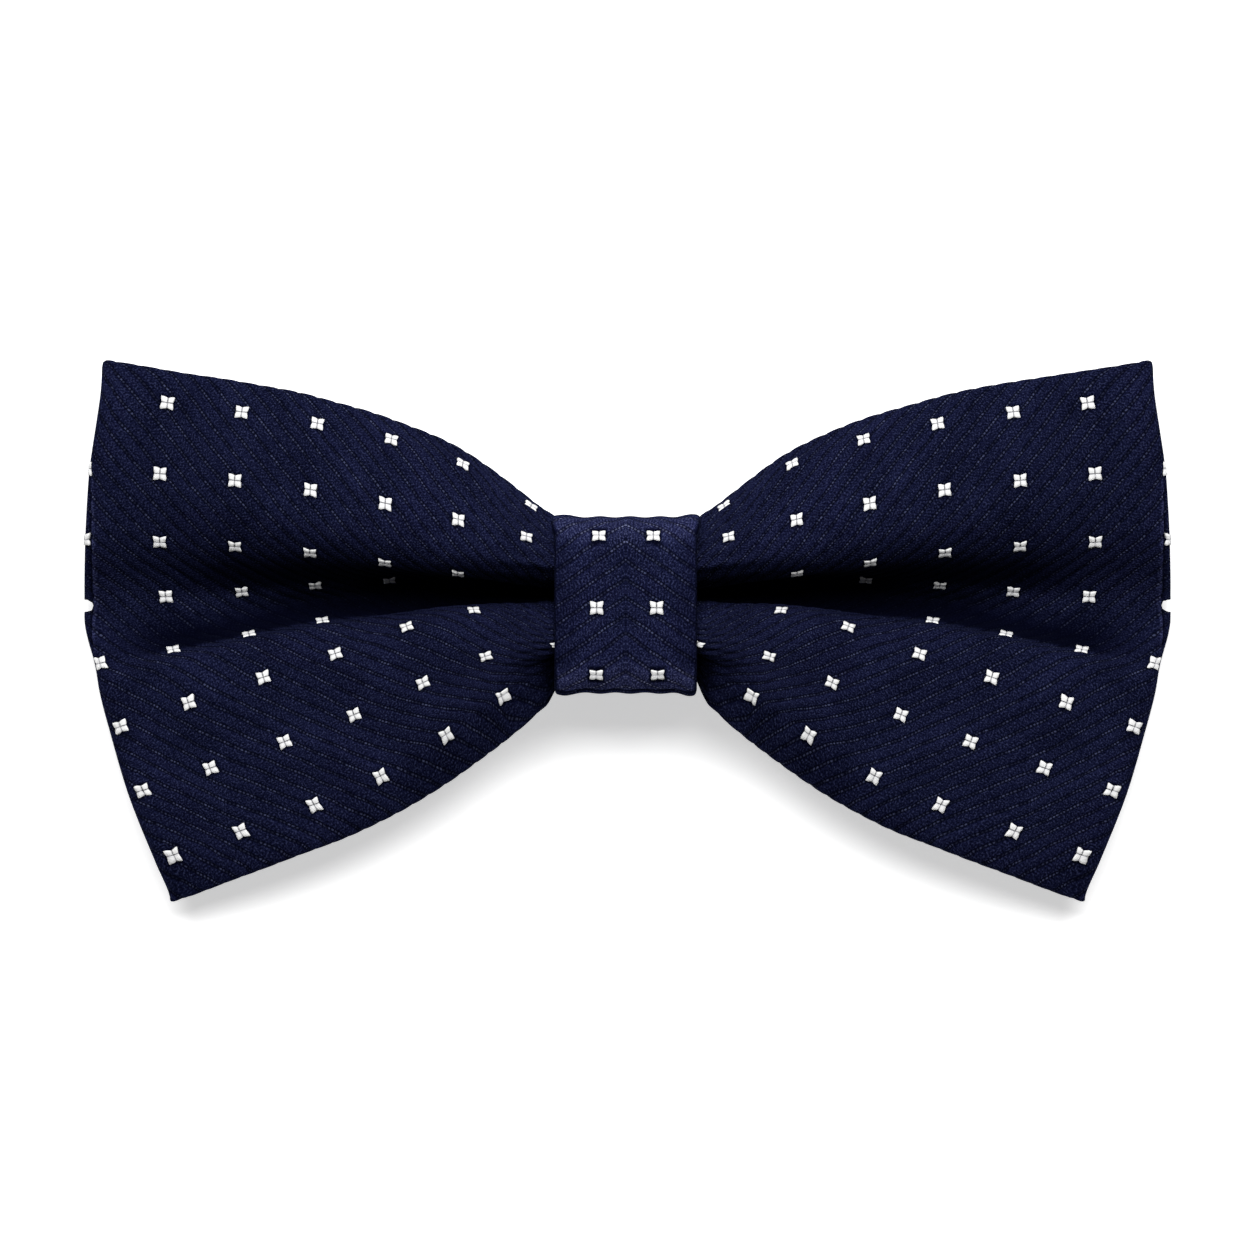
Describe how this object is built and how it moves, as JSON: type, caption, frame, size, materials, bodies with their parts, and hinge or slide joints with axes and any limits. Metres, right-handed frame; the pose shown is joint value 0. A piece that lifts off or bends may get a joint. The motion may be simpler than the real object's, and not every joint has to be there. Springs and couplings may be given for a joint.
{
  "type": "butterfly bow tie",
  "caption": "Ready-tied butterfly bow tie in navy ribbed cloth with white woven stars, pinched by a wrapped knot and held by a bent metal collar clip.",
  "frame": {"origin": "centre of the underside of the bow tie's box, as it lies on its back", "axes": "+X along its width, +Y towards its top edge, +Z out of its front"},
  "size_m": [0.12, 0.0594, 0.0194],
  "materials": {
    "wing_cloth": "ribbed satin-backed weave with small white woven stars",
    "knot_cloth": "the same ribbed weave, with its ribs meeting in the middle",
    "clip_metal": "plain bent sheet, softly brushed"
  },
  "bodies": {
    "root": {"bow_cloth": "wing_cloth", "knot_wrap": "knot_cloth", "collar_clip": "clip_metal"}
  },
  "joints": []
}
